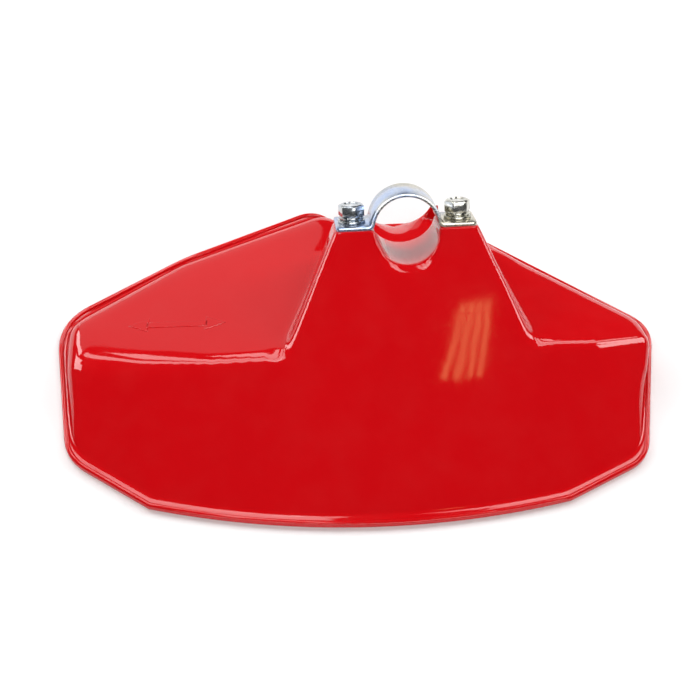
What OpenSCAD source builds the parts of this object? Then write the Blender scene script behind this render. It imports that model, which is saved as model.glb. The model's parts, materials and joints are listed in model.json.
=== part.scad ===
// Blade guard for a brush cutter: a moulded shell that is clamped to the drive tube
// by a steel strap and two bolts. Origin: on the tube axis, under the middle of the strap.
// +X is to the right, +Y points along the tube to the cutter head, +Z is square to the rim.

/* [Tube clamp] */
// Diameter of the drive tube
tube_d = 28; // [24:0.5:30]
// Slope of the tube against the plane of the rim, in degrees
tube_tilt = 34; // [28:1:36]
// Width of the strap along the tube
strap_w = 20; // [16:1:24]
// Thickness of the strap
strap_t = 1.6; // [1.2:0.1:2.2]
// Distance between the two bolt centres
bolt_spacing = 46.6; // [42:0.2:56]
// Length of each strap ear beyond its bolt centre
ear_over = 7.4; // [7:0.1:12]

/* [Fasteners] */
// Thread diameter of the bolts
bolt_d = 6; // [5:0.5:7]
// Length of the bolt shank under its head
bolt_len = 22; // [20:1:30]
// Width across the flats of the bolt heads and the nuts
hex_af = 10; // [8:0.5:11]
// Height of the bolt heads
head_h = 5; // [3:0.5:6]
// Outer diameter of the flat washers
washer_d = 12; // [10:0.5:14]
// Thickness of the flat washers
washer_t = 1.4; // [1:0.1:2]
// Outer diameter of the spring washers
spring_d = 10.6; // [9:0.1:12]
// Thickness of the spring washers
spring_t = 1.7; // [1.2:0.1:2.5]
// Height of the nuts
nut_h = 5; // [4:0.5:6]

/* [Shell] */
// Wall thickness
wall = 2.5; // [2:0.1:3.2]
// Reach of the shell to the left of the tube
left_reach = 157; // [125:1:190]
// Reach of the shell to the right of the tube
right_reach = 111; // [90:1:135]
// Reach of the shell in front of the strap
front_reach = 127; // [115:1:155]
// Reach of the rear left corner behind the strap
rear_reach = 45; // [42:1:54]
// Depth of the rim plane below the tube axis at the strap
rim_drop = 42.5; // [42:0.5:50]
// Width of the brim around the shell
brim_w = 4; // [2:0.5:6]
// Radius of the bow of the front edge
front_bow = 371; // [300:10:500]
// Distance of the ridge in front of the strap
ridge_dist = 58; // [50:1:66]
// Radius of the shell's rounded ridges and shoulders
ridge_r = 9; // [6:0.5:12]
// Radius of the shell's low shoulders at its two ends
end_r = 6; // [5:0.5:8]

/* [Tower] */
// Width of the seat that the strap ears rest on
seat_w = 62; // [56:1:76]
// Distance from the strap's front edge to the front of the seat
seat_margin = 0.7; // [0:0.1:3]
// Radius of the tower's rounded edges
tower_r = 3; // [2.7:0.1:4]
// Width of the tower's foot to the left of the tube
foot_left = 57; // [50:1:70]
// Width of the tower's foot to the right of the tube
foot_right = 52; // [46:1:66]
// Distance from the strap to the back of the tower
tower_back = 8.5; // [8:0.5:14]
// Distance from the strap to the back of the rear tube rest
rest_dist = 34; // [32:0.5:35]
// Width of the rear tube rest
rest_w = 45; // [42:1:56]
// Height of the rear tube rest above the rim plane
rest_h = 19; // [14:0.5:24]

/* [Hidden] */
$fn = 96;

tube_r = tube_d / 2;
bolt_x = bolt_spacing / 2;
rest_clear = 0.4;          // the rear rest is this much larger in radius than the tube
shell_hole_clear = 0.6;    // bolt hole in the seat, over the bolt diameter
strap_hole_clear = 0.5;    // bolt hole in the strap
washer_hole_clear = 0.4;   // holes in the washers
thread_clear = 0.1;        // nut bore over the bolt diameter
turn_gap = 0.05;           // between the bolt head and the washer it turns on
nut_play = 0.3;            // nut pocket over the nut, across the flats
nut_roof = 5.5;            // thickness of the seat above the nut pocket
rest_t = 3;                // thickness of the rear tube rest
boss_wall = 2.2;           // wall around the nut pocket
foot_step = 0.2;           // the dish's upright foot ends this far under the brim's top
left_end_h = 15;           // the crest's height above the rim plane at its left end
right_end_h = 17;          // the same at its right end
end_sweep_left = 12;       // the crest ends this far behind the ridge line on the left
end_sweep_right = 8;       // the same on the right
back_foot_left = 36.5;     // the tower's rear foot, to the left of the tube
back_foot_right = 43;      // the same to the right of the tube
foot_depth = 8;            // the tower's front foot stands this far behind the ridge
channel_drop = 7;          // the tube channel is this much lower than the rear rest
edge_slack = 2;            // the end shoulders stay this far inside the brim
least_r = 0.1;             // a thick wall leaves the tower's hollow at least this round
slit = 1.2;                // gap in a spring washer
slit_turn = 250;           // where that gap stands, in degrees
head_chamfer = 1;          // height of the chamfer on a bolt head
recess_depth = 0.5;        // depth of the dimple in a bolt head
through = 1;               // cutters run this far past what they cut
hull_fn = 28;
curve_steps = 6;
far = 200;

seat_front = -strap_w / 2 - seat_margin;
washer_z = strap_t;
spring_z = washer_z + washer_t;
head_z = spring_z + spring_t + turn_gap;
nut_z = -nut_roof - nut_h;
rim_z = -rim_drop;
brim_top = rim_z + wall;
ridge_y = -ridge_dist;
hex_circle = hex_af / cos(30);

// a point given along the tube (y) and square to the seat (z), in the part's frame
function on_tube(x, y, z) = [x, y * cos(tube_tilt) + z * sin(tube_tilt),
    z * cos(tube_tilt) - y * sin(tube_tilt)];
function unit(v) = v / norm(v);

// the sloping front of the shell runs from the brim up to the front edge of the seat
seat_edge = on_tube(0, seat_front, 0);
front_slope = atan2(seat_edge.z - brim_top, seat_edge.y + front_reach - brim_w);
front_lean = 90 - tube_tilt - front_slope;
function front_z(y) = seat_edge.z + (y - seat_edge.y) * tan(front_slope);
ridge_h = front_z(ridge_y) - ridge_r / cos(front_slope) + ridge_r - rim_z;

// a corner between three outline points, rounded by a curve that starts `cut` before it
function rounded(a, b, c, cut) = [for (i = [0:curve_steps]) let (t = i / curve_steps,
    p = b + cut * unit(a - b), q = b + cut * unit(c - b))
    p * (1 - t) * (1 - t) + b * 2 * t * (1 - t) + q * t * t];
function front_edge(x) = -front_reach + front_bow - sqrt(front_bow * front_bow - pow(x - bow_mid, 2));

// outline of the rim, seen from above: each corner is [x, y, rounding]
bow_mid = -12;                  // x of the front edge's furthest point
bow_left = -left_reach + 42;    // x where the bow meets the left front corner's edge
bow_right = right_reach - 51;   // the same on the right
rear_left = -38;                // x of the rear left corner beside the tube
rear_mid = -left_reach + 57;    // x of the bend in the left rear edge
rear_bend = rear_reach - 26;    // y of that bend
rest_corner = rest_w / 2 + 2;
corners = [
    [-left_reach + 7, -front_reach + 40, 10],
    [-left_reach, -15, 17],
    [rear_mid, rear_bend, 6],
    [rear_left, rear_reach, 8],
    [-rest_corner, rest_dist, 4],
    [rest_corner, rest_dist, 4],
    [right_reach, -34, 11],
    [right_reach - 15, -front_reach + 24, 9]];
rim_points = concat([[bow_left, front_edge(bow_left)]], [for (c = corners) [c[0], c[1]]],
    [[bow_right, front_edge(bow_right)]]);
bow_steps = 16;
rim_outline = concat(
    [for (i = [1:len(corners)]) each rounded(rim_points[i - 1], rim_points[i],
        rim_points[i + 1], corners[i - 1][2])],
    [for (i = [0:bow_steps]) let (x = bow_right + (bow_left - bow_right) * i / bow_steps)
        [x, front_edge(x)]]);

// the ridge bows down from the tower's foot to each end: share of the way, share of the drop
left_bow = [[0, 0], [0.35, 0.27], [0.7, 0.62], [1, 1]];
right_bow = [[0, 0], [0.5, 0.4], [1, 1]];
function ridge_side(start, end, bow) = [for (s = bow)
    [start.x + (end.x - start.x) * s[0], start.y + (end.y - start.y) * s[0] * s[0],
     start.z + (end.z - start.z) * s[1]]];

// tops of the ridge and of the shoulders: [x, y, height above the rim plane, radius]
inset = brim_w + ridge_r;
rear_r = ridge_r - 2;
low_top = 18;      // crest points lower than this take the end shoulders' radius
edge_inset = brim_w + end_r + edge_slack;
left_crest = ridge_side([-foot_left - 2, ridge_y, ridge_h],
    [-left_reach + edge_inset, ridge_y + end_sweep_left, left_end_h], left_bow);
right_crest = ridge_side([foot_right, ridge_y, ridge_h],
    [right_reach - edge_inset, ridge_y + end_sweep_right, right_end_h], right_bow);
crown = concat(
    [for (p = concat(left_crest, right_crest))
        [p.x, p.y, p.z, p.z < low_top ? end_r : ridge_r]],
    [[-left_reach + edge_inset, -24, 11, end_r],
     [rear_mid + 2, rear_bend - inset + 2, 8, rear_r],
     [rear_left + 3, rear_reach - inset + 1, 8, rear_r],
     [rest_corner - 5, rest_dist - inset, 13, ridge_r],
     [right_reach - edge_inset, -40, 14.5, end_r]]);

// convex body under the crown; skin is how far its faces are drawn in
module dish(skin) {
    intersection() {
        hull() {
            for (c = crown)
                translate([c.x, c.y, rim_z + c.z - c[3]]) sphere(r = c[3] - skin, $fn = hull_fn);
            translate([0, 0, rim_z - through]) linear_extrude(through + wall - skin - foot_step)
                offset(delta = -brim_w - skin) polygon(rim_outline);
        }
        translate([-far, -far, rim_z - (skin > 0 ? through : 0)]) cube([2 * far, 2 * far, far]);
    }
}

// body of the tower; its front face lies in line with the sloping front of the dish
module tower(skin) {
    r = tower_r;
    top = skin > 0 ? -r : 0;
    front_y = seat_front + r / cos(front_lean) + top * tan(front_lean);
    back_y = tower_back - r;
    back_z = (top - back_y * sin(tube_tilt)) / cos(tube_tilt);
    foot_z = front_z(ridge_y) - r / cos(front_slope);
    hull() for (side = [-1, 1]) {
        foot_x = side < 0 ? r - foot_left : foot_right - r;
        foot_back_x = side < 0 ? r - back_foot_left : back_foot_right - r;
        for (p = [
            on_tube(side * (seat_w / 2 - r), front_y, top),
            [side * (seat_w / 2 - r), back_y, back_z],
            [foot_x, ridge_y, foot_z],
            [foot_x, ridge_y + foot_depth, rim_z + r],
            [foot_back_x, back_y, rim_z + r]])
            translate(p) sphere(r = max(r - skin, least_r), $fn = hull_fn);
    }
}

module along_tube() { rotate([-tube_tilt, 0, 0]) children(); }

module tube_cylinder(r, y0, y1) {
    translate([0, y0, 0]) rotate([-90, 0, 0]) cylinder(r = r, h = y1 - y0);
}

// plate with a half-round notch that carries the tube at the rear rim
module rear_rest() {
    translate([-rest_w / 2, rest_dist - rest_t, rim_z]) cube([rest_w, rest_t, rest_h]);
}

// half-round floor that the tube passes over, from the tower to the rear rest
module rear_channel() {
    intersection() {
        along_tube() tube_cylinder(tube_r + rest_clear + wall, strap_w, far / 2);
        translate([-far / 2, tower_back, rim_z]) 
            cube([far, rest_dist - tower_back, rest_h - channel_drop]);
    }
}

module seat_solid() {
    intersection() {
        tower(0);
        along_tube() {
            tube_cylinder(tube_r + wall, -far / 4, far / 4);
            for (side = [-1, 1])
                translate([side * bolt_x, 0, nut_z - through])
                    cylinder(d = hex_circle + nut_play + 2 * boss_wall, h = through - nut_z);
        }
    }
}

module nut_pocket() {
    translate([0, 0, -far / 4 - nut_roof])
        cylinder(d = (hex_af + nut_play) / cos(30), h = far / 4, $fn = 6);
}

module guard_shell() {
    color("red") difference() {
        intersection() {
            union() {
                difference() {
                    union() { dish(0); tower(0); }
                    dish(wall);
                    tower(wall);
                }
                translate([0, 0, rim_z]) linear_extrude(wall) difference() {
                    polygon(rim_outline);
                    offset(delta = -brim_w - wall) polygon(rim_outline);
                }
                seat_solid();
                rear_rest();
                rear_channel();
            }
            translate([0, 0, rim_z]) linear_extrude(far) polygon(rim_outline);
        }
        along_tube() {
            translate([-far / 2, -far / 2, 0]) cube([far, far, far]);
            tube_cylinder(tube_r, -far / 4, far / 5);
            tube_cylinder(tube_r + rest_clear, strap_w, far / 2);
            for (side = [-1, 1]) translate([side * bolt_x, 0, 0]) {
                translate([0, 0, -far / 4]) cylinder(d = bolt_d + shell_hole_clear, h = far / 2);
                nut_pocket();
            }
        }
    }
}

module clamp_strap() {
    color("silver") along_tube() difference() {
        translate([0, strap_w / 2, 0]) rotate([90, 0, 0]) linear_extrude(strap_w) difference() {
            union() {
                intersection() {
                    circle(r = tube_r + strap_t);
                    translate([-far / 2, 0]) square([far, far]);
                }
                translate([-bolt_x - ear_over, 0]) square([bolt_spacing + 2 * ear_over, strap_t]);
            }
            circle(r = tube_r);
        }
        for (side = [-1, 1])
            translate([side * bolt_x, 0, -through])
                cylinder(d = bolt_d + strap_hole_clear, h = strap_t + 2 * through);
    }
}

module bolt(side) {
    recess_r = 0.3 * hex_af;
    blank_d = hex_circle + head_chamfer;
    color("lightgray") along_tube() translate([side * bolt_x, 0, head_z]) difference() {
        union() {
            intersection() {
                cylinder(d = hex_circle, h = head_h, $fn = 6);
                union() {
                    cylinder(d = blank_d, h = head_h - head_chamfer);
                    translate([0, 0, head_h - head_chamfer])
                        cylinder(d1 = blank_d, d2 = 0.9 * hex_af, h = head_chamfer);
                }
            }
            translate([0, 0, -bolt_len]) cylinder(d = bolt_d, h = bolt_len + through);
        }
        translate([0, 0, head_h - recess_depth]) cylinder(r = recess_r, h = recess_depth + through);
    }
}

module spring_washer(side) {
    color("gainsboro") along_tube() translate([side * bolt_x, 0, spring_z]) difference() {
        cylinder(d = spring_d, h = spring_t);
        translate([0, 0, -through])
            cylinder(d = bolt_d + washer_hole_clear, h = spring_t + 2 * through);
        rotate([0, 0, slit_turn]) translate([0, -slit / 2, -through])
            cube([spring_d, slit, spring_t + 2 * through]);
    }
}

module flat_washer(side) {
    color("silver") along_tube() translate([side * bolt_x, 0, washer_z]) difference() {
        cylinder(d = washer_d, h = washer_t);
        translate([0, 0, -through])
            cylinder(d = bolt_d + washer_hole_clear, h = washer_t + 2 * through);
    }
}

module nut(side) {
    color("lightgray") along_tube() translate([side * bolt_x, 0, nut_z]) difference() {
        cylinder(d = hex_circle, h = nut_h, $fn = 6);
        translate([0, 0, -through]) cylinder(d = bolt_d + thread_clear, h = nut_h + 2 * through);
    }
}

guard_shell();
clamp_strap();
bolt(-1);  // bolt_left
bolt(1);  // bolt_right
spring_washer(-1);  // spring_washer_left
spring_washer(1);  // spring_washer_right
flat_washer(-1);  // flat_washer_left
flat_washer(1);  // flat_washer_right
nut(-1);  // nut_left
nut(1);  // nut_right
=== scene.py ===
"""Blade guard for a brush cutter: a glossy moulded shell that a zinc plated strap,
two bolts, two pairs of washers and two captive nuts clamp to the drive tube."""

import json
import math

import bpy
from mathutils import Euler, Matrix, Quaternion, Vector


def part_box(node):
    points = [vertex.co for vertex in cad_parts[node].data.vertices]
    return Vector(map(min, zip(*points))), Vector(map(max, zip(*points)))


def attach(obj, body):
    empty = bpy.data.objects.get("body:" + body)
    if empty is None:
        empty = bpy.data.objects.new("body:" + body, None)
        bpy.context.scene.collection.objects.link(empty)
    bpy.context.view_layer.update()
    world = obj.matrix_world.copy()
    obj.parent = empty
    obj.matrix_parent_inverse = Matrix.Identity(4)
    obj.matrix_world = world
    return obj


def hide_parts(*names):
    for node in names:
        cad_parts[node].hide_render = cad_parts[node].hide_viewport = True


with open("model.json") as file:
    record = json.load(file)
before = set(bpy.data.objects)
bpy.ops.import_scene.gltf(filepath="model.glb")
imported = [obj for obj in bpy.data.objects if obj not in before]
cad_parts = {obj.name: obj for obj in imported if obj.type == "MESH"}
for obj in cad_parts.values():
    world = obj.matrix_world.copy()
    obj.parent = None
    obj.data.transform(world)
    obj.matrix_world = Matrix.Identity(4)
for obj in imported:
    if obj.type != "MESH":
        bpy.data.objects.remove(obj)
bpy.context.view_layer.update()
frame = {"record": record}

# ---------------------------------------------------------------- driving sizes, in metres

MM = 0.001
mounts = {mount["name"]: mount for mount in frame["record"]["mounts"]}

TUBE_TILT = math.asin(-mounts["tube_clamp"]["axis"][2])
TUBE_RADIUS = mounts["tube_clamp"]["dims"]["r_mm"] * MM
STRAP_WIDTH = 20 * MM
STRAP_THICK = 1.6 * MM
BOLT_X = 23.3 * MM
EAR_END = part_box("clamp_strap")[1].x

BOLT_RADIUS = 3 * MM
BOLT_LENGTH = 22 * MM
THREAD_PITCH = 1 * MM
HEX_RADIUS = 10 * MM / math.sqrt(3)
HEAD_HEIGHT = 5 * MM
WASHER_RADIUS, WASHER_THICK = 6 * MM, 1.4 * MM
SPRING_RADIUS, SPRING_THICK = 5.3 * MM, 1.7 * MM
WASHER_HOLE = 3.2 * MM
NUT_HEIGHT = 5 * MM
NUT_ROOF = 5.5 * MM

WALL = 2.5 * MM
BRIM = 4 * MM
RIDGE_RADIUS = 9 * MM
END_RADIUS = 6 * MM
TOWER_RADIUS = 3 * MM
RIM_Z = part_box("guard_shell")[0].z
LEFT, RIGHT = -157 * MM, 111 * MM
FRONT, REAR = -127 * MM, 45 * MM
RIDGE_Y = -58 * MM
SEAT_HALF = 31 * MM
TOWER_BACK = 8.5 * MM
FOOT_LEFT, FOOT_RIGHT = -57 * MM, 52 * MM
BACK_LEFT, BACK_RIGHT = -36.5 * MM, 43 * MM
REST_BACK, REST_HALF, REST_HEIGHT = 34 * MM, 22.5 * MM, 19 * MM
REST_THICK = 3 * MM
FAR = 200 * MM

SEAT_MARGIN = 0.7 * MM          # from the strap's front edge to the front of the seat
REST_CLEAR = 0.4 * MM           # the rear rest is this much larger in radius than the tube
SHELL_HOLE_CLEAR = 0.3 * MM     # round the bolts in the seat, in radius
STRAP_HOLE_CLEAR = 0.25 * MM    # round the bolts in the strap, in radius
NUT_CLEAR = 0.3 * MM            # round the nuts in their pockets, in radius
BOSS_WALL = 2.35 * MM
CHANNEL_DROP = 7 * MM           # the tube channel is this much lower than the rear rest
FOOT_STEP = 0.2 * MM            # the dish's upright foot ends this far under the brim's top
LOW_TOP = 18 * MM               # crest points lower than this are rounded less
LIP_HEIGHT, LIP_WIDTH = 0.7 * MM, 2.2 * MM
LIP_ROOM = 0.5 * MM             # the rest of the shell stays this far inside the lip's outside

WASHER_Z = STRAP_THICK
SPRING_Z = WASHER_Z + WASHER_THICK
HEAD_Z = SPRING_Z + SPRING_THICK + 0.05 * MM
NUT_Z = -NUT_ROOF - NUT_HEIGHT


def on_tube(x, along, up):
    """A point given along the tube and square to the seat, in the part's own frame."""
    c, s = math.cos(TUBE_TILT), math.sin(TUBE_TILT)
    return Vector((x, along * c + up * s, up * c - along * s))


# ---------------------------------------------------------------- bench tools


def pick(piece):
    """Makes one piece the only one selected, and the active one."""
    if bpy.context.object and bpy.context.object.mode != "OBJECT":
        bpy.ops.object.mode_set(mode="OBJECT")
    bpy.ops.object.select_all(action="DESELECT")
    piece.select_set(True)
    bpy.context.view_layer.objects.active = piece
    return piece


def named(name):
    """Names the primitive that was just added, and fixes its place in its mesh."""
    piece = bpy.context.object
    piece.name = name
    piece.data.name = name
    pick(piece)
    bpy.ops.object.transform_apply(location=True, rotation=True, scale=True)
    return piece


def choose(piece, wanted, kind="FACE"):
    """Selects the faces or edges that a test on centre and normal picks, in edit mode."""
    pick(piece)
    bpy.ops.object.mode_set(mode="EDIT")
    bpy.ops.mesh.select_mode(type=kind)
    bpy.ops.mesh.select_all(action="DESELECT")
    bpy.ops.object.mode_set(mode="OBJECT")
    points = piece.data.vertices
    if kind == "FACE":
        for face in piece.data.polygons:
            face.select = wanted(face.center, face.normal)
    else:
        for edge in piece.data.edges:
            a, b = (points[i].co for i in edge.vertices)
            edge.select = wanted((a + b) / 2, (b - a).normalized())
    bpy.ops.object.mode_set(mode="EDIT")


def leave():
    bpy.ops.object.mode_set(mode="OBJECT")


def whole(piece):
    """Selects all of a piece in edit mode."""
    pick(piece)
    bpy.ops.object.mode_set(mode="EDIT")
    bpy.ops.mesh.select_all(action="SELECT")


def finish_with(piece, kind, **settings):
    """Adds a modifier, sets it and applies it."""
    pick(piece)
    bpy.ops.object.modifier_add(type=kind)
    modifier = piece.modifiers[-1]
    for name, value in settings.items():
        setattr(modifier, name, value)
    bpy.ops.object.modifier_apply(modifier=modifier.name)
    return piece


def combine(piece, tool, how):
    """Cuts, adds or keeps the common part of a tool body, which is then thrown away."""
    finish_with(piece, "BOOLEAN", operation=how, solver="EXACT", object=tool)
    bpy.data.objects.remove(tool)
    return piece


def joined(name, parts):
    """Joins loose parts into one object."""
    pick(parts[0])
    for part in parts[1:]:
        part.select_set(True)
    if len(parts) > 1:
        bpy.ops.object.join()
    parts[0].name = name
    return parts[0]


def post(name, radius, low, high, x=0.0, sides=96):
    """Upright round or hexagonal bar."""
    bpy.ops.mesh.primitive_cylinder_add(
        vertices=sides, radius=radius, depth=high - low, location=(x, 0, (low + high) / 2))
    return named(name)


def pipe_plug(name, radius, start, end):
    """Round bar along the tube, before it is tilted."""
    bpy.ops.mesh.primitive_cylinder_add(
        vertices=192, radius=radius, depth=end - start,
        location=(0, (start + end) / 2, 0), rotation=(math.pi / 2, 0, 0))
    return named(name)


def block(name, low, high):
    """Plain block between two corners."""
    low, high = Vector(low), Vector(high)
    bpy.ops.mesh.primitive_cube_add(size=1, location=(low + high) / 2, scale=high - low)
    return named(name)


def tilt(piece):
    """Leans a piece that was made upright over to the tube's slope."""
    pick(piece)
    piece.rotation_euler.x = -TUBE_TILT
    bpy.ops.object.transform_apply(location=False, rotation=True, scale=False)
    return piece


def outward(piece, merge=1e-7):
    """Merges doubled points and turns every face outwards."""
    whole(piece)
    bpy.ops.mesh.remove_doubles(threshold=merge)
    bpy.ops.mesh.normals_make_consistent(inside=False)
    leave()
    return piece


def soften(piece, width, angle=35):
    """Rounds the sharp edges a little and shades the piece smooth between them."""
    finish_with(piece, "BEVEL", width=width, segments=2, limit_method="ANGLE",
                angle_limit=math.radians(angle), use_clamp_overlap=True)
    pick(piece)
    bpy.ops.object.shade_smooth_by_angle(angle=math.radians(angle))
    return piece


# ---------------------------------------------------------------- outline of the rim


def rounded(a, b, c, start, steps=10):
    """A corner between three outline points, rounded by a curve that starts before it."""
    a, b, c = Vector(a), Vector(b), Vector(c)
    p, q = b + start * (a - b).normalized(), b + start * (c - b).normalized()
    curve = [i / steps for i in range(steps + 1)]
    return [p * (1 - t) ** 2 + 2 * b * t * (1 - t) + q * t ** 2 for t in curve]


def front_bow(x, radius=371 * MM, middle=-12 * MM):
    """The front edge of the rim, which is a long arc."""
    return FRONT + radius - math.sqrt(radius ** 2 - (x - middle) ** 2)


def rim_outline():
    """The rim seen from above, from the left end of the front bow and round by the rear."""
    bow_left, bow_right = LEFT + 42 * MM, RIGHT - 51 * MM
    rest = REST_HALF + 2 * MM
    corners = [
        (LEFT + 7 * MM, FRONT + 40 * MM, 10 * MM), (LEFT, -15 * MM, 17 * MM),
        (LEFT + 57 * MM, REAR - 26 * MM, 6 * MM), (-38 * MM, REAR, 8 * MM),
        (-rest, REST_BACK, 4 * MM), (rest, REST_BACK, 4 * MM),
        (RIGHT, -34 * MM, 11 * MM), (RIGHT - 15 * MM, FRONT + 24 * MM, 9 * MM)]
    line = [(bow_left, front_bow(bow_left))] + [c[:2] for c in corners]
    line.append((bow_right, front_bow(bow_right)))
    outline = []
    for i, corner in enumerate(corners):
        outline += rounded(line[i], line[i + 1], line[i + 2], corner[2])
    steps = 40
    for i in range(steps + 1):
        x = bow_right + (bow_left - bow_right) * i / steps
        outline.append(Vector((x, front_bow(x))))
    return outline


def slab(name, outline, low, high, inset=0.0):
    """Flat plate with an outline: a disc whose points are moved to it, inset and extruded."""
    bpy.ops.mesh.primitive_circle_add(vertices=len(outline), radius=1, fill_type="NGON")
    piece = named(name)
    for vertex, place in zip(piece.data.vertices, outline):
        vertex.co = (place.x, place.y, low)
    whole(piece)
    if inset:
        bpy.ops.mesh.inset(thickness=inset, use_even_offset=True)
        bpy.ops.mesh.select_mode(type="FACE")
        bpy.ops.mesh.select_all(action="INVERT")
        bpy.ops.mesh.delete(type="FACE")
        bpy.ops.mesh.select_all(action="SELECT")
    bpy.ops.mesh.extrude_region_move(TRANSFORM_OT_translate={"value": (0, 0, high - low)})
    leave()
    return outward(piece)


# ---------------------------------------------------------------- the moulded shell

SEAT_FRONT = on_tube(0, -STRAP_WIDTH / 2 - SEAT_MARGIN, 0)
APRON_SLOPE = math.atan2(SEAT_FRONT.z - RIM_Z - WALL, SEAT_FRONT.y - FRONT - BRIM)
OUTLINE = rim_outline()


def apron_z(y):
    """Height of the sloping front, which runs from the brim up to the seat."""
    return SEAT_FRONT.z + (y - SEAT_FRONT.y) * math.tan(APRON_SLOPE)


def wrapped(name, balls, parts=(), segments=64):
    """Skin stretched over balls and loose parts, as its convex hull."""
    parts = list(parts)
    for x, y, z, radius in balls:
        bpy.ops.mesh.primitive_uv_sphere_add(
            segments=segments, ring_count=segments // 2, radius=radius, location=(x, y, z))
        parts.append(named(name + "_ball"))
    piece = joined(name, parts)
    whole(piece)
    bpy.ops.mesh.convex_hull()
    leave()
    return outward(piece)


def crest(start, end, bow):
    """One side of the ridge, which bows down from the tower's foot to the end."""
    points = []
    for way, drop in bow:
        share = Vector((way, way * way, drop))
        points.append(start + Vector(a * b for a, b in zip(end - start, share)))
    return points


def crown():
    """Tops of the ridge and of the shoulders, with their heights above the rim and radii."""
    inset, end_inset = BRIM + RIDGE_RADIUS, BRIM + END_RADIUS + 2 * MM
    ridge = apron_z(RIDGE_Y) - RIDGE_RADIUS / math.cos(APRON_SLOPE) + RIDGE_RADIUS - RIM_Z
    left_crest = crest(
        Vector((-59 * MM, RIDGE_Y, ridge)), Vector((LEFT + end_inset, RIDGE_Y + 12 * MM, 15 * MM)),
        [(0, 0), (0.35, 0.27), (0.7, 0.62), (1, 1)])
    right_crest = crest(
        Vector((52 * MM, RIDGE_Y, ridge)), Vector((RIGHT - end_inset, RIDGE_Y + 8 * MM, 17 * MM)),
        [(0, 0), (0.5, 0.4), (1, 1)])
    tops = []
    for top in left_crest + right_crest:
        tops.append((*top, END_RADIUS if top.z < LOW_TOP else RIDGE_RADIUS))
    shoulder = RIDGE_RADIUS - 2 * MM
    return tops + [
        (LEFT + end_inset, -24 * MM, 11 * MM, END_RADIUS),
        (LEFT + 59 * MM, REAR - 24 * MM - inset, 8 * MM, shoulder),
        (-35 * MM, REAR + 1 * MM - inset, 8 * MM, shoulder),
        (19.5 * MM, REST_BACK - inset, 13 * MM, RIDGE_RADIUS),
        (RIGHT - end_inset, -40 * MM, 14.5 * MM, END_RADIUS)]


def dish(skin):
    """The wide low body of the shell; skin is how far its faces are drawn in."""
    foot = slab("dish_foot", OUTLINE, RIM_Z - 1 * MM, RIM_Z + WALL - skin - FOOT_STEP,
                BRIM + skin)
    balls = [(x, y, RIM_Z + top - r, r - skin) for x, y, top, r in crown()]
    body = wrapped("dish", balls, [foot])
    if not skin:
        whole(body)
        bpy.ops.mesh.bisect(plane_co=(0, 0, RIM_Z), plane_no=(0, 0, 1), use_fill=True,
                            clear_inner=True)
        leave()
    return body


def tower(skin):
    """The tower under the strap; its front lies in line with the sloping front."""
    r = TOWER_RADIUS
    top = -r if skin else 0.0
    lean = math.pi / 2 - TUBE_TILT - APRON_SLOPE
    front = -STRAP_WIDTH / 2 - SEAT_MARGIN + r / math.cos(lean) + top * math.tan(lean)
    back = TOWER_BACK - r
    back_z = (top - back * math.sin(TUBE_TILT)) / math.cos(TUBE_TILT)
    foot_z = apron_z(RIDGE_Y) - r / math.cos(APRON_SLOPE)
    balls = []
    feet = ((-1, FOOT_LEFT + r, BACK_LEFT + r), (1, FOOT_RIGHT - r, BACK_RIGHT - r))
    for side, foot, foot_back in feet:
        balls += [
            on_tube(side * (SEAT_HALF - r), front, top),
            (side * (SEAT_HALF - r), back, back_z),
            (foot, RIDGE_Y, foot_z),
            (foot, RIDGE_Y + 8 * MM, RIM_Z + r),
            (foot_back, back, RIM_Z + r)]
    return wrapped("tower", [(*ball, r - skin) for ball in balls], segments=48)


def band(name, low, high, start, width):
    """Flat band that follows the rim, from some way in from it, with rounded edges."""
    outer = slab(name, OUTLINE, low, high, start)
    inner = slab(name + "_inner", OUTLINE, low - WALL, high + WALL, start + width)
    combine(outer, inner, "DIFFERENCE")
    return finish_with(outer, "BEVEL", width=0.8 * MM, segments=3, limit_method="ANGLE",
                       angle_limit=math.radians(60))


def brim():
    """Flange all the way round the rim."""
    return band("brim", RIM_Z, RIM_Z + WALL, 0, BRIM + WALL)


def lip():
    """Low lip along the brim's outer edge."""
    return outward(band("lip", RIM_Z, RIM_Z + WALL + LIP_HEIGHT, 0, LIP_WIDTH))


def saddle_core():
    """Half-round saddle under the tube, and the two bosses that hold the nuts."""
    core = pipe_plug("saddle", TUBE_RADIUS + WALL, -FAR / 4, FAR / 4)
    for side in (-1, 1):
        boss = post("boss", HEX_RADIUS + BOSS_WALL, NUT_Z - 1 * MM, 0, side * BOLT_X)
        combine(core, boss, "UNION")
    return combine(tilt(core), tower(0), "INTERSECT")


def rear_rest():
    """Upright plate at the rear rim and the floor that leads the tube to it."""
    plate = block("rear_rest", (-REST_HALF, REST_BACK - REST_THICK, RIM_Z),
                  (REST_HALF, REST_BACK, RIM_Z + REST_HEIGHT))
    channel = tilt(pipe_plug("channel", TUBE_RADIUS + REST_CLEAR + WALL, STRAP_WIDTH, FAR / 2))
    reach = block("reach", (-FAR / 2, TOWER_BACK, RIM_Z),
                  (FAR / 2, REST_BACK, RIM_Z + REST_HEIGHT - CHANNEL_DROP))
    return combine(plate, combine(channel, reach, "INTERSECT"), "UNION")


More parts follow.
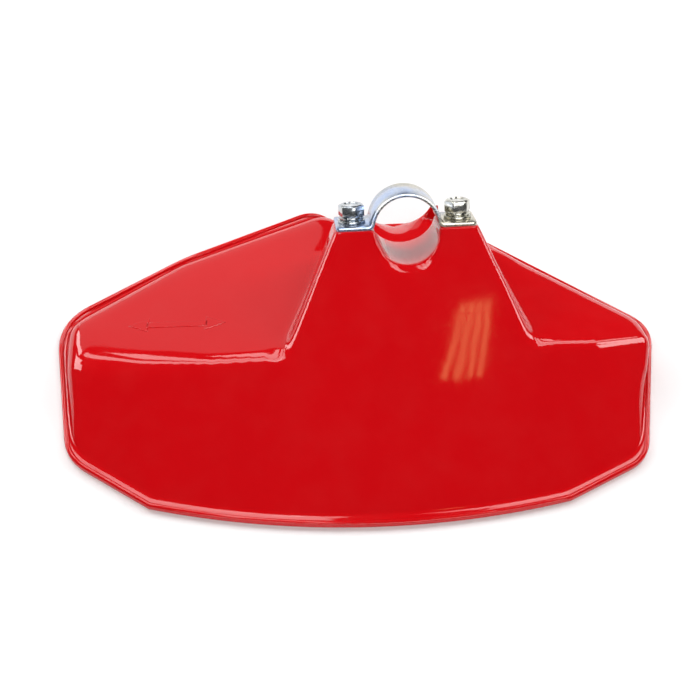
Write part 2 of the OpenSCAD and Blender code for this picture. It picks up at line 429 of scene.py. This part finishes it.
def on_wing(name, points, shell):
    """Thin raised plate with an outline, laid on the wing's own surface."""
    bpy.ops.mesh.primitive_circle_add(vertices=len(points), radius=1, fill_type="TRIFAN")
    plate = named(name)
    middle = sum((Vector(p) for p in points), Vector((0, 0))) / len(points)
    rim = [v for v in plate.data.vertices if v.co.length > 0.5]
    for v in plate.data.vertices:
        v.co = (middle.x, middle.y, 0)
    for v, place in zip(rim, points):
        v.co = (place[0], place[1], 0)
    whole(plate)
    bpy.ops.mesh.subdivide(number_cuts=5)
    leave()
    finish_with(plate, "SHRINKWRAP", target=shell, wrap_method="PROJECT", use_project_z=True,
                use_negative_direction=True, use_positive_direction=False, offset=ARROW_RELIEF)
    finish_with(plate, "SOLIDIFY", thickness=1.2 * MM, offset=-1)
    return soften(outward(plate), 0.15 * MM, 50)


def turning_arrow(shell):
    """Raised double arrow on the left wing: a bar and two heads."""
    tail, tip = Vector(ARROW_ENDS[0]), Vector(ARROW_ENDS[1])
    along = (tip - tail).normalized()
    across = Vector((-along.y, along.x))
    head, barb, shaft = 9 * MM, 4.2 * MM, 1.7 * MM
    parts = []
    for point, way in ((tail, along), (tip, -along)):
        base, half = point + way * head, Vector((way.y, -way.x)) * barb
        parts.append(on_wing("arrow_head", [point, base + half, base - half], shell))
    ends = [tail + along * head * 0.9, tip - along * head * 0.9]
    bar = [ends[0] + across * shaft, ends[0] - across * shaft, ends[1] - across * shaft,
           ends[1] + across * shaft]
    parts.append(on_wing("arrow_bar", bar, shell))
    return parts


def clamp_cuts():
    """All that is cut away for the tube, the strap, the bolts and the nuts."""
    above = block("above", (-FAR / 2, -FAR / 2, 0), (FAR / 2, FAR / 2, FAR / 2))
    cuts = [above, pipe_plug("bed", TUBE_RADIUS, -FAR / 4, FAR / 5),
            pipe_plug("rear_bed", TUBE_RADIUS + REST_CLEAR, STRAP_WIDTH, FAR / 2)]
    for side in (-1, 1):
        cuts.append(post("bolt_hole", BOLT_RADIUS + SHELL_HOLE_CLEAR, -FAR / 4, FAR / 4, side * BOLT_X))
        cuts.append(post("nut_pocket", HEX_RADIUS + NUT_CLEAR, -FAR / 4, -NUT_ROOF, side * BOLT_X, 6))
    return [tilt(cut) for cut in cuts]


VOXEL = 0.72 * MM
MOST_TRIANGLES = 190_000
ARROW_RELIEF = 0.2 * MM
CREST_START, CREST_LENGTH, CREST_SWEEP = 57 * MM, 88 * MM, 12 * MM
ARROW_ENDS = ((-123.4 * MM, -27.8 * MM), (-80.4 * MM, -32.7 * MM))


def ramp(value, low, high):
    """Rises smoothly from 0 at low to 1 at high."""
    t = min(max((value - low) / (high - low), 0), 1)
    return t * t * (3 - 2 * t)


def tower_side(y, left):
    """Where a side wall of the tower meets the wings, at that distance along the guard."""
    share = (y - RIDGE_Y) / (TOWER_BACK - RIDGE_Y)
    foot, back = (FOOT_LEFT, BACK_LEFT) if left else (FOOT_RIGHT, BACK_RIGHT)
    return foot + (back - foot) * min(max(share, 0), 1)


def crest_y(x):
    """How far forward the ridge runs at a place along it; it sweeps back towards its ends."""
    way = min(max(abs(x) - CREST_START, 0) / CREST_LENGTH, 1)
    return RIDGE_Y + CREST_SWEEP * way ** 2


def front_edge_x(y, left):
    """Where the front of the tower turns into its side; also the fraction of the way up."""
    share = min(max((y - RIDGE_Y) / (SEAT_FRONT.y - RIDGE_Y), 0), 1)
    foot, seat = (FOOT_LEFT, -SEAT_HALF) if left else (FOOT_RIGHT, SEAT_HALF)
    return foot + (seat - foot) * share, share


def front_share(p):
    """How far a point is in the sloping front, where the tower and the dish are one face."""
    left, share = front_edge_x(p.y, True)
    right, share = front_edge_x(p.y, False)
    off_face = abs(p.z - apron_z(p.y) + WALL / 2)
    return (ramp(min(p.x - left, right - p.x), 4 * MM, 11 * MM) * (1 - ramp(share, 0.6, 0.85))
            * (1 - ramp(off_face, 3 * MM, 5 * MM)) * ramp(p.z, RIM_Z + 3.5 * MM, RIM_Z + 8 * MM))


def broad_share(p):
    """How far a point is in the open faces, where the moulding is one slow curve."""
    clear = ramp(p.z, RIM_Z + 3.5 * MM, RIM_Z + 8 * MM)
    if p.y > RIDGE_Y - 9 * MM:
        beside = max(tower_side(p.y, True) - p.x, p.x - tower_side(p.y, False), p.y - TOWER_BACK)
        clear *= ramp(beside, 3 * MM, 12 * MM)
    off_ridge = ramp(abs(p.y - crest_y(p.x)), 6 * MM, 14 * MM)
    fade = ramp(-p.x, 70 * MM, 135 * MM)
    return max(clear * max(off_ridge, fade), front_share(p))


def foot_share(p):
    """How close a point is to the valley between the tower's sides and the wings."""
    if not RIDGE_Y - 2 * MM < p.y < TOWER_BACK + 2 * MM:
        return 0.0
    off = min(abs(p.x - tower_side(p.y, True)), abs(p.x - tower_side(p.y, False)))
    return 1 - ramp(off, 2 * MM, 8 * MM)


def edge_share(p):
    """How close a point is to the ridge, or to an edge between the front and a tower side."""
    left = p.x < 0
    if abs(p.x) > abs(FOOT_LEFT if left else FOOT_RIGHT):
        near = 1 - ramp(abs(p.y - crest_y(p.x)), 5 * MM, 11 * MM)
        return near * (1.0 if left else 0.35) * ramp(p.z, RIM_Z + 4 * MM, RIM_Z + 9 * MM)
    edge_x, share = front_edge_x(p.y, left)
    near = 1 - ramp(abs(p.x - edge_x), 2.5 * MM, 6 * MM)
    return 0.35 * near * ramp(p.y, RIDGE_Y - 8 * MM, RIDGE_Y) * (1 - ramp(share, 0.75, 0.92))


def ease(piece, share, iterations):
    """Smooths a piece where a share of its points says so."""
    group = piece.vertex_groups.new(name="eased")
    for v in piece.data.vertices:
        weight = share(v.co)
        if weight > 0:
            group.add([v.index], weight, "REPLACE")
    finish_with(piece, "SMOOTH", factor=0.5, iterations=iterations, vertex_group="eased")
    piece.vertex_groups.clear()


def moulded_shell():
    """Shell in one moulding: solids are combined, then worked over for soft moulded edges."""
    shell = combine(dish(0), tower(0), "UNION")
    for hollow in (dish(WALL), tower(WALL)):
        combine(shell, hollow, "DIFFERENCE")
    for solid in (brim(), saddle_core(), rear_rest()):
        combine(shell, solid, "UNION")
    combine(shell, slab("within_rim", OUTLINE, RIM_Z, FAR, LIP_ROOM), "INTERSECT")
    for cut in clamp_cuts():
        combine(shell, cut, "DIFFERENCE")
    shell.name = "moulded_shell"
    finish_with(shell, "REMESH", mode="VOXEL", voxel_size=VOXEL)
    ease(shell, broad_share, 300)
    ease(shell, foot_share, 90)
    ease(shell, edge_share, 70)
    finish_with(shell, "SMOOTH", factor=0.5, iterations=5)
    arrow = turning_arrow(shell)
    triangles = 2 * len(shell.data.polygons)
    if triangles > MOST_TRIANGLES:
        finish_with(shell, "DECIMATE", ratio=MOST_TRIANGLES / triangles)
    pick(shell)
    bpy.ops.object.shade_smooth()
    finish_with(shell, "WEIGHTED_NORMAL", mode="FACE_AREA", weight=60)
    edge = lip()
    pick(edge)
    bpy.ops.object.shade_smooth_by_angle(angle=math.radians(40))
    return joined("moulded_shell", [shell, edge] + arrow)


# ---------------------------------------------------------------- strap and fasteners


def strap_line(bend=2.2 * MM):
    """Middle line of the strap seen along the tube: ear, bend, arch, bend, ear."""
    middle, arch = STRAP_THICK / 2, TUBE_RADIUS + STRAP_THICK / 2
    bend_z = middle + bend
    bend_x = math.sqrt((arch + bend) ** 2 - bend_z ** 2)
    turn = math.atan2(bend_z, bend_x)
    half = [Vector((-EAR_END + (EAR_END - bend_x) * i / 6, middle)) for i in range(6)]
    for i in range(9):
        a = -math.pi / 2 + (math.pi / 2 - turn) * i / 8
        half.append(Vector((-bend_x + bend * math.cos(a), bend_z + bend * math.sin(a))))
    for i in range(1, 25):
        a = math.pi - turn - (math.pi / 2 - turn) * i / 24
        half.append(Vector((arch * math.cos(a), arch * math.sin(a))))
    return half + [Vector((-p.x, p.y)) for p in reversed(half[:-1])]


def tube_strap():
    """Strap bent over the tube, from a flat strip whose rows follow the bends."""
    line = strap_line()
    bpy.ops.mesh.primitive_grid_add(x_subdivisions=len(line) - 1, y_subdivisions=1, size=1)
    strap = named("tube_strap")
    points = strap.data.vertices
    rows = sorted({round(v.co.x, 5) for v in points})
    for v in points:
        place = line[rows.index(round(v.co.x, 5))]
        v.co = (place.x, math.copysign(STRAP_WIDTH / 2, v.co.y), place.y)
    finish_with(strap, "SOLIDIFY", thickness=STRAP_THICK, offset=0, use_even_offset=True)
    outward(strap)
    end = EAR_END - 0.2 * MM
    choose(strap, lambda c, d: abs(c.x) > end and abs(d.z) > 0.9, "EDGE")
    bpy.ops.mesh.bevel(offset=1.6 * MM, segments=5, affect="EDGES")
    leave()
    for side in (-1, 1):
        hole = post("ear_hole", BOLT_RADIUS + STRAP_HOLE_CLEAR, -STRAP_THICK, 2 * STRAP_THICK,
                    side * BOLT_X, 48)
        combine(strap, hole, "DIFFERENCE")
    soften(strap, 0.28 * MM)
    return tilt(strap)


def ring(name, hole, radius, low, high, gap_degrees=0.0, rise=0.0):
    """Washer: its section is spun round the bolt, all the way or with a split."""
    bpy.ops.mesh.primitive_plane_add(size=1, rotation=(math.pi / 2, 0, 0))
    piece = named(name)
    for v in piece.data.vertices:
        v.co = (hole if v.co.x < 0 else radius, 0, low if v.co.z < 0 else high)
    whole(piece)
    turn = 360 - gap_degrees
    bpy.ops.mesh.spin(steps=72, angle=math.radians(turn), center=(0, 0, 0), axis=(0, 0, 1))
    leave()
    if rise:
        for v in piece.data.vertices:
            v.co.z += rise * (math.atan2(v.co.y, v.co.x) % math.tau) / math.tau
    return outward(piece, 1e-6)


def flat_washer(name):
    return soften(ring(name, WASHER_HOLE, WASHER_RADIUS, WASHER_Z, SPRING_Z), 0.2 * MM)


def spring_washer(name):
    """Split washer, squeezed almost flat, with its ends a little apart."""
    rise = 0.2 * MM
    top = SPRING_Z + SPRING_THICK - rise
    return soften(ring(name, WASHER_HOLE, SPRING_RADIUS, SPRING_Z, top, 16, rise), 0.15 * MM)


def turned_blank(name, radius, low, high, chamfer, both=False):
    """Round bar with a chamfer, that a hexagon is cut from."""
    blank = post(name, radius, low + (chamfer if both else 0), high - chamfer)
    ends = (1, -1) if both else (1,)
    for way in ends:
        choose(blank, lambda c, n, way=way: n.z * way > 0.9)
        bpy.ops.mesh.extrude_region_move(TRANSFORM_OT_translate={"value": (0, 0, way * chamfer)})
        shrink = 1 - 1.9 * chamfer / radius
        bpy.ops.transform.resize(value=(shrink, shrink, 1))
        leave()
    return blank


def screw_thread(low, high):
    """Thread on the shank: a ridge wound round the core, with closed ends."""
    turns = int((high - low) / THREAD_PITCH)
    bpy.ops.mesh.primitive_plane_add(size=1, rotation=(math.pi / 2, 0, 0))
    ridge = named("thread")
    root, tip = BOLT_RADIUS - 0.62 * MM, BOLT_RADIUS
    for v in ridge.data.vertices:
        outer = v.co.x > 0
        half = 0.07 * MM if outer else 0.42 * MM
        v.co = (tip if outer else root, 0, low + 0.5 * MM + math.copysign(half, v.co.z))
    choose(ridge, lambda c, n: True)
    bpy.ops.mesh.delete(type="ONLY_FACE")
    leave()
    finish_with(ridge, "SCREW", axis="Z", angle=math.tau * turns, steps=24 * turns,
                render_steps=24 * turns, screw_offset=THREAD_PITCH * turns,
                use_merge_vertices=False, use_smooth_shade=False)
    whole(ridge)
    bpy.ops.mesh.fill_holes(sides=4)
    leave()
    return outward(ridge, 1e-8)


def bolt(name):
    """Hexagon bolt with a chamfered, dished head and a threaded shank."""
    top = HEAD_Z + HEAD_HEIGHT
    head = post("head", HEX_RADIUS, HEAD_Z, top, sides=6)
    combine(head, turned_blank("blank", HEX_RADIUS + 0.05 * MM, HEAD_Z - 1 * MM, top, 0.75 * MM),
            "INTERSECT")
    choose(head, lambda c, n: n.z > 0.9 and c.z > top - 0.1 * MM)
    bpy.ops.mesh.inset(thickness=0.9 * MM)
    bpy.ops.mesh.extrude_region_move(TRANSFORM_OT_translate={"value": (0, 0, -0.55 * MM)})
    bpy.ops.transform.resize(value=(0.82, 0.82, 1))
    leave()
    soften(outward(head), 0.14 * MM, 25)
    end = HEAD_Z - BOLT_LENGTH
    core = post("core", BOLT_RADIUS - 0.55 * MM, end, HEAD_Z + 0.4 * MM, sides=48)
    choose(core, lambda c, n: n.z < -0.9)
    bpy.ops.mesh.bevel(offset=0.5 * MM, segments=2, affect="EDGES")
    leave()
    thread = screw_thread(end + 0.3 * MM, -NUT_ROOF + 4 * MM)
    neck = post("neck", BOLT_RADIUS, -NUT_ROOF + 3.2 * MM, HEAD_Z + 0.3 * MM, sides=48)
    for part in (core, thread, neck):
        pick(part)
        bpy.ops.object.shade_smooth_by_angle(angle=math.radians(25))
    return joined(name, [head, core, thread, neck])


def nut(name):
    """Hexagon nut with chamfers on both faces and a softened bore."""
    body = post(name, HEX_RADIUS, NUT_Z, NUT_Z + NUT_HEIGHT, sides=6)
    blank = turned_blank("blank", HEX_RADIUS + 0.05 * MM, NUT_Z, NUT_Z + NUT_HEIGHT, 0.5 * MM, True)
    combine(body, blank, "INTERSECT")
    bore = post("bore", BOLT_RADIUS + 0.05 * MM, NUT_Z - MM, NUT_Z + NUT_HEIGHT + MM)
    combine(body, bore, "DIFFERENCE")
    return soften(outward(body), 0.18 * MM, 25)


def at_bolt(piece, side, turn):
    """Turns an upright fastener a little, sets it at its ear and leans it to the tube."""
    pick(piece)
    piece.rotation_euler.z = math.radians(turn)
    piece.location.x = side * BOLT_X
    bpy.ops.object.transform_apply(location=True, rotation=True, scale=False)
    return tilt(piece)


# ---------------------------------------------------------------- surface effects


def add(tree, kind, **values):
    """Adds a node; a value goes to the socket of that name, or else to the setting."""
    made = tree.nodes.new(kind)
    for name, value in values.items():
        socket = name.replace("_", " ").title()
        if socket in made.inputs:
            made.inputs[socket].default_value = value
        else:
            setattr(made, name, value)
    return made


def math_node(tree, operation, a, b, clamp=False):
    """A sum or product of sockets or plain numbers."""
    made = add(tree, "ShaderNodeMath", operation=operation, use_clamp=clamp)
    for socket, value in zip(made.inputs, (a, b)):
        if isinstance(value, (int, float)):
            socket.default_value = value
        else:
            tree.links.new(value, socket)
    return made.outputs[0]


def spread(tree, value, low, high, to_low=0.0, to_high=1.0):
    """Maps a range of values onto another, without going past its ends."""
    made = add(tree, "ShaderNodeMapRange", clamp=True)
    tree.links.new(value, made.inputs["Value"])
    for socket, number in zip(made.inputs[1:5], (low, high, to_low, to_high)):
        if isinstance(number, (int, float)):
            socket.default_value = number
        else:
            tree.links.new(number, socket)
    return made.outputs[0]


def noise(tree, vector, scale, detail=2.0):
    """Fractal noise; its scale is a number or a socket."""
    made = add(tree, "ShaderNodeTexNoise", detail=detail)
    tree.links.new(vector, made.inputs["Vector"])
    if isinstance(scale, (int, float)):
        made.inputs["Scale"].default_value = scale
    else:
        tree.links.new(scale, made.inputs["Scale"])
    return made.outputs["Fac"]


def effect(name, inputs, output):
    """An empty shader node group with named inputs and one output."""
    group = bpy.data.node_groups.new(name, "ShaderNodeTree")
    for label, value in inputs.items():
        kind = "NodeSocketVector" if value is None else "NodeSocketFloat"
        socket = group.interface.new_socket(name=label, in_out="INPUT", socket_type=kind)
        if value is not None:
            socket.default_value = value
    group.interface.new_socket(name=output, in_out="OUTPUT", socket_type="NodeSocketFloat")
    source = group.nodes.new("NodeGroupInput").outputs
    sink = group.nodes.new("NodeGroupOutput").inputs[output]
    return group, source, sink


def surface_relief():
    """Slow waves and fine grain, as a height."""
    group, source, sink = effect(
        "surface_relief",
        {"Vector": None, "Wave Scale": 30.0, "Wave": 0.5, "Grain Scale": 900.0, "Grain": 0.2}, "Height")
    waves = math_node(group, "MULTIPLY", noise(group, source["Vector"], source["Wave Scale"], 1.0),
                      source["Wave"])
    grain = math_node(group, "MULTIPLY", noise(group, source["Vector"], source["Grain Scale"], 3.0),
                      source["Grain"])
    group.links.new(math_node(group, "ADD", waves, grain), sink)
    return group


def edge_wear():
    """Mask that is high on worn outer edges, broken up by noise."""
    group, source, sink = effect("edge_wear", {"Vector": None, "Amount": 0.5, "Break Up": 300.0}, "Mask")
    shape = add(group, "ShaderNodeNewGeometry")
    edges = spread(group, shape.outputs["Pointiness"], 0.515, 0.6)
    patches = spread(group, noise(group, source["Vector"], source["Break Up"]), 0.38, 0.62)
    mask = math_node(group, "MULTIPLY", math_node(group, "MULTIPLY", edges, patches), source["Amount"])
    group.links.new(mask, sink)
    return group


def settled_dust():
    """Mask of thin dust that lies on what faces up and gathers in hollows."""
    group, source, sink = effect(
        "settled_dust", {"Vector": None, "Amount": 0.3, "Patch Scale": 60.0}, "Mask")
    shape = add(group, "ShaderNodeNewGeometry")
    axes = add(group, "ShaderNodeSeparateXYZ")
    group.links.new(shape.outputs["Normal"], axes.inputs[0])
    upward = spread(group, axes.outputs["Z"], 0.3, 1.0)
    hollows = spread(group, shape.outputs["Pointiness"], 0.5, 0.44, 0.55, 1.0)
    patches = spread(group, noise(group, source["Vector"], source["Patch Scale"], 5.0), 0.42, 0.75)
    mask = math_node(group, "MULTIPLY", math_node(group, "MULTIPLY", upward, hollows), patches)
    group.links.new(math_node(group, "MULTIPLY", mask, source["Amount"]), sink)
    return group


def fine_scratches():
    """Mask of thin scuffs that run two ways."""
    group, source, sink = effect("fine_scratches", {"Vector": None, "Amount": 0.4}, "Mask")
    masks = []
    for turn, stretch in ((0.5, (40, 1400, 900)), (2.2, (1200, 60, 900))):
        mapping = add(group, "ShaderNodeMapping", rotation=(0, 0, turn), scale=stretch)
        group.links.new(source["Vector"], mapping.inputs["Vector"])
        masks.append(spread(group, noise(group, mapping.outputs[0], 1.0, 1.0), 0.66, 0.72))
    both = math_node(group, "MAXIMUM", *masks)
    group.links.new(math_node(group, "MULTIPLY", both, source["Amount"]), sink)
    return group


RELIEF, WEAR, DUST, SCRATCHES = surface_relief(), edge_wear(), settled_dust(), fine_scratches()


def use(tree, group, vector, **values):
    """Places an effect in a material, with its own values."""
    made = tree.nodes.new("ShaderNodeGroup")
    made.node_tree = group
    tree.links.new(vector, made.inputs["Vector"])
    for name, value in values.items():
        made.inputs[name.replace("_", " ").title()].default_value = value
    return made.outputs[0]


def tint(tree, mask, under, over):
    """Mixes two colours, given as sockets or as plain values, by a mask."""
    made = add(tree, "ShaderNodeMix", data_type="RGBA")
    tree.links.new(mask, made.inputs["Factor"])
    for label, value in (("A", under), ("B", over)):
        socket = next(s for s in made.inputs if s.name == label and s.type == "RGBA")
        if isinstance(value, tuple):
            socket.default_value = (*value, 1)
        else:
            tree.links.new(value, socket)
    return next(s for s in made.outputs if s.type == "RGBA")


def blank_material(name):
    """A material with its Principled shader, and the object's own coordinates."""
    material = bpy.data.materials.new(name)
    material.use_nodes = True
    tree = material.node_tree
    shader = tree.nodes["Principled BSDF"]
    place = tree.nodes.new("ShaderNodeTexCoord").outputs["Object"]
    return material, tree, shader, place


def raise_surface(tree, shader, height, strength, distance):
    """Feeds a height to the shader as a bump."""
    bump = add(tree, "ShaderNodeBump", strength=strength, distance=distance)
    tree.links.new(height, bump.inputs["Height"])
    tree.links.new(bump.outputs[0], shader.inputs["Normal"])


RED = (0.590, 0.0018, 0.0045)
DEEP_RED = (0.575, 0.0016, 0.0042)
SCUFFED_RED = (0.720, 0.060, 0.060)
GREY_DUST = (0.52, 0.44, 0.40)


def gloss_red_plastic():
    """Glossy red moulded plastic: faint waves, fine grain, scuffs and a breath of dust."""
    material, tree, shader, place = blank_material("gloss_red_plastic")
    worn = use(tree, WEAR, place, amount=0.25, break_up=350.0)
    dust = use(tree, DUST, place, amount=0.012, patch_scale=70.0)
    scuffs = use(tree, SCRATCHES, place, amount=0.18)
    depth = spread(tree, noise(tree, place, 14.0, 3.0), 0.35, 0.65)
    colour = tint(tree, depth, DEEP_RED, RED)
    colour = tint(tree, worn, colour, SCUFFED_RED)
    colour = tint(tree, dust, colour, GREY_DUST)
    tree.links.new(colour, shader.inputs["Base Color"])
    rough = spread(tree, noise(tree, place, 120.0, 3.0), 0.3, 0.7, 0.03, 0.05)
    for mask, share in ((scuffs, 0.35), (worn, 0.6), (dust, 1.2)):
        rough = math_node(tree, "ADD", rough, math_node(tree, "MULTIPLY", mask, share))
    tree.links.new(rough, shader.inputs["Roughness"])
    shader.inputs["IOR"].default_value = 1.49
    relief = use(tree, RELIEF, place, wave_scale=38.0, wave=0.3, grain_scale=1300.0, grain=0.004)
    raise_surface(tree, shader, relief, 0.3, 0.6 * MM)
    return material


def zinc_plate(name, cool, warm, roughness, grain_stretch, relief_strength, worn_amount):
    """Bright zinc plate: passivation that drifts from cool to warm, and a fine drawn grain."""
    material, tree, shader, place = blank_material(name)
    shader.inputs["Metallic"].default_value = 1.0
    axes = add(tree, "ShaderNodeSeparateXYZ")
    tree.links.new(place, axes.inputs[0])
    drift = math_node(tree, "ADD", spread(tree, axes.outputs["X"], -0.032, 0.032),
                      spread(tree, noise(tree, place, 90.0, 2.0), 0.3, 0.7, -0.45, 0.45))
    colour = tint(tree, spread(tree, drift, 0.1, 0.9), cool, warm)
    worn = use(tree, WEAR, place, amount=worn_amount, break_up=700.0)
    dust = use(tree, DUST, place, amount=0.12, patch_scale=260.0)
    colour = tint(tree, worn, colour, (0.90, 0.90, 0.89))
    colour = tint(tree, dust, colour, (0.42, 0.40, 0.38))
    tree.links.new(colour, shader.inputs["Base Color"])
    mapping = add(tree, "ShaderNodeMapping", scale=grain_stretch)
    tree.links.new(place, mapping.inputs["Vector"])
    grain = noise(tree, mapping.outputs[0], 1.0, 4.0)
    scuffs = use(tree, SCRATCHES, place, amount=0.5)
    rough = spread(tree, grain, 0.3, 0.7, roughness - 0.06, roughness + 0.08)
    for mask, share in ((scuffs, 0.15), (dust, 0.8)):
        rough = math_node(tree, "ADD", rough, math_node(tree, "MULTIPLY", mask, share))
    tree.links.new(rough, shader.inputs["Roughness"])
    relief = use(tree, RELIEF, place, wave_scale=240.0, wave=0.35, grain_scale=2600.0, grain=0.12)
    height = math_node(tree, "ADD", relief, math_node(tree, "MULTIPLY", grain, 0.25))
    raise_surface(tree, shader, height, relief_strength, 0.08 * MM)
    return material


def finishes():
    """One finish for each material slot of the record."""
    return {
        "shell_plastic": gloss_red_plastic(),
        "strap_steel": zinc_plate("strap_zinc", (0.36, 0.46, 0.68), (0.56, 0.52, 0.42), 0.24,
                                  (300, 2600, 2600), 0.35, 0.6),
        "bolt_steel": zinc_plate("bolt_zinc", (0.46, 0.50, 0.55), (0.54, 0.53, 0.47), 0.18,
                                 (900, 900, 2400), 0.45, 0.8),
        "washer_steel": zinc_plate("washer_zinc", (0.36, 0.41, 0.47), (0.47, 0.46, 0.38), 0.22,
                                   (1500, 1500, 1500), 0.45, 0.7),
        "nut_steel": zinc_plate("nut_zinc", (0.60, 0.64, 0.70), (0.70, 0.69, 0.62), 0.28,
                                (900, 900, 2400), 0.45, 0.7)}


# ---------------------------------------------------------------- putting it together


def place_piece(piece, body, slot, node, finish):
    """Gives a piece its finish and its body, and hides the CAD node that it stands for."""
    piece.data.materials.clear()
    piece.data.materials.append(finish[slot])
    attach(piece, body)
    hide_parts(node)


def build_guard():
    finish = finishes()
    place_piece(moulded_shell(), "shell", "shell_plastic", "guard_shell", finish)
    place_piece(tube_strap(), "strap", "strap_steel", "clamp_strap", finish)
    for word, side, turn in (("left", -1, 14), ("right", 1, 38)):
        fasteners = (
            (bolt("hex_bolt_" + word), word + "_bolt", "bolt_steel", "bolt_"),
            (spring_washer("split_washer_" + word), "strap", "washer_steel", "spring_washer_"),
            (flat_washer("plain_washer_" + word), "strap", "washer_steel", "flat_washer_"),
            (nut("hex_nut_" + word), "shell", "nut_steel", "nut_"))
        for piece, body, slot, node in fasteners:
            spin = {"bolt_": turn, "spring_washer_": 250}.get(node, 0)
            place_piece(at_bolt(piece, side, spin), body, slot, node + word, finish)


# ---------------------------------------------------------------- studio


EYE = (-0.05858, -0.40051, 0.46687)
LOOK_DOWN, LOOK_RIGHT, EYE_ROLL = math.radians(54.35), math.radians(5.09), math.radians(1.18)


def camera():
    """Camera above and in front of the guard."""
    bpy.ops.object.camera_add(location=EYE)
    eye = bpy.context.object
    looking = Euler((math.radians(90) - LOOK_DOWN, 0, -LOOK_RIGHT)).to_quaternion()
    eye.rotation_mode = "QUATERNION"
    eye.rotation_quaternion = looking @ Quaternion((0, 0, 1), EYE_ROLL)
    eye.data.lens = 72.0
    eye.data.sensor_width = 36.0
    bpy.context.scene.camera = eye


def panel(name, place, aim, size, radiance, colour=(1, 1, 1), roll=0):
    """Soft light panel that faces a point; its power follows from how bright it looks."""
    bpy.ops.object.light_add(type="AREA", location=place)
    lamp = bpy.context.object
    lamp.name = name
    lamp.data.shape = "RECTANGLE"
    lamp.data.size, lamp.data.size_y = size
    lamp.data.energy = radiance * math.pi * size[0] * size[1]
    lamp.data.color = colour
    lamp.rotation_mode = "QUATERNION"
    aimed = (Vector(place) - Vector(aim)).to_track_quat("Z", "Y")
    lamp.rotation_quaternion = aimed @ Quaternion((0, 0, 1), math.radians(roll))


def studio():
    """White floor, dim surroundings and soft panels."""
    bpy.ops.mesh.primitive_plane_add(size=12, location=(0, 0, RIM_Z))
    floor = named("studio_floor")
    pale = bpy.data.materials.new("studio_white")
    pale.use_nodes = True
    pale.node_tree.nodes["Principled BSDF"].inputs["Base Color"].default_value = (0.93, 0.93, 0.93, 1)
    pale.node_tree.nodes["Principled BSDF"].inputs["Roughness"].default_value = 0.9
    pale.node_tree.nodes["Principled BSDF"].inputs["Specular IOR Level"].default_value = 0.0
    floor.data.materials.append(pale)
    world = bpy.data.worlds.new("studio_air")
    world.use_nodes = True
    world.node_tree.nodes["Background"].inputs["Color"].default_value = (1, 1, 1, 1)
    world.node_tree.nodes["Background"].inputs["Strength"].default_value = 0.05
    bpy.context.scene.world = world
    bpy.context.scene.view_settings.view_transform = "Standard"
    middle = (-0.02, -0.04, -0.02)
    for shift in (-0.22, 0.22):
        panel("left_window", (-1.31, 0.85 + shift, 0.85), middle, (0.36, 0.7), 7.5)
        panel("right_window", (1.45, 0.65 + shift, 0.85), middle, (0.36, 0.7), 7.5)
    panel("front_fill", (0.1, -1.6, 1.35), middle, (2.0, 1.0), 4.3)
    panel("rear_card", (-0.75, 2.25, 0.60), middle, (1.3, 1.2), 0.65)
    panel("left_card", (-1.02, 1.26, 0.50), middle, (0.16, 0.5), 7.0)
    for x in (-0.42, -0.30, -0.18, -0.06, 0.34, 0.46, 0.58):
        panel("rear_tube", (1.05 * x, 0.57, 0.89), middle, (0.09, 0.95), 4.6)
    for i in range(4):
        panel("roof_tube", (0.133 + 0.011 * i, -0.19, 0.9), (0.02, -0.05, 0), (0.006, 0.09), 5.0,
              (1.0, 0.62, 0.25), -55)


build_guard()
camera()
studio()
